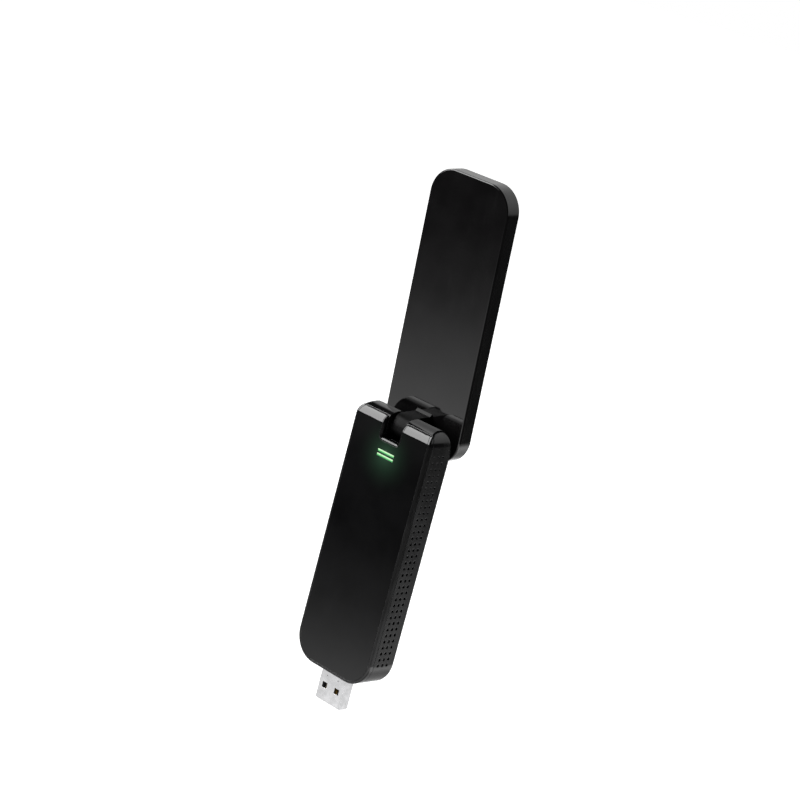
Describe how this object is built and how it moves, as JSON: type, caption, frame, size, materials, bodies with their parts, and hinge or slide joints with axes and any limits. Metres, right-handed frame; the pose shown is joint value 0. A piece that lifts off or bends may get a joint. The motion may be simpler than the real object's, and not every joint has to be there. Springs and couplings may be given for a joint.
{
  "type": "usb wifi adapter",
  "caption": "Upright black USB wireless adapter: slim vented casing with a glossy front and status light, a USB-A plug below and a flat folding antenna above.",
  "frame": {"origin": "middle of the casing's plug end, where the plug comes out and its shoulder meets a socket", "axes": "+Z along the adapter from the plug to the antenna tip, +X to the right seen from the glossy front, -Y towards the glossy front"},
  "size_m": [0.0354, 0.0217, 0.1896],
  "materials": {
    "gloss_black": "glossy piano black",
    "bezel_black": "semi-gloss black",
    "satin_black": "satin black",
    "light_green": "clear light pipe, lit pale green",
    "plug_steel": "bright nickel plate",
    "insulator_black": "black nylon",
    "contact_gold": "gold plate",
    "board_green": "solder mask",
    "screw_steel": "plated steel",
    "chip_black": "epoxy",
    "ceramic_tan": "ceramic",
    "led_white": "diode package",
    "shield_tin": "tinned steel",
    "pad_grey": "silicone pad",
    "spreader_aluminium": "satin",
    "sleeve_brass": "turned",
    "coax_black": "cable jacket",
    "arm_black": "fine matte black",
    "antenna_gloss": "glossy black",
    "antenna_satin": "satin black",
    "trace_copper": "copper",
    "foam_black": "soft foam",
    "button_black": "satin black",
    "switch_black": "black"
  },
  "bodies": {
    "body": {"amplifier_chips": "chip_black", "board_screws": "screw_steel", "capacitors": "ceramic_tan", "coax_in_body": "coax_black", "coax_socket": "contact_gold", "crystal": "shield_tin", "friction_clip": "screw_steel", "front_bezel": "bezel_black", "front_plate": "gloss_black", "heat_spreader": "spreader_aluminium", "hinge_sleeve": "sleeve_brass", "light_pipe": "light_green", "main_board": "board_green", "power_inductor": "chip_black", "rear_shell": "satin_black", "regulator_chip": "chip_black", "shield_frame": "shield_tin", "shield_lid": "shield_tin", "status_leds": "led_white", "tact_switch": "switch_black", "thermal_pad": "pad_grey", "usb_contacts": "contact_gold", "usb_shell": "plug_steel", "usb_tongue": "insulator_black", "wifi_chip": "chip_black"},
    "antenna": {"hinge_arm": "arm_black", "antenna_inner_cover": "antenna_gloss", "antenna_outer_shell": "antenna_satin", "arm_screws": "screw_steel", "antenna_board": "board_green", "antenna_traces": "trace_copper", "foam_pad": "foam_black", "coax_in_antenna": "coax_black", "hinge_pin": "screw_steel", "pin_retainer": "screw_steel"},
    "button": {"wps_button": "button_black", "switch_plunger": "switch_black"}
  },
  "joints": [
    {"name": "antenna_fold", "type": "hinge", "parent": "body", "child": "antenna", "pos_m": [0, 0.0009, 0.0893], "axis": [1, 0, 0], "range_deg": [-5, 175]},
    {"name": "button_press", "type": "slide", "parent": "body", "child": "button", "axis": [1, 0, 0], "range_m": [0, 0.00035], "stiffness_N_per_m": 1500}
  ]
}
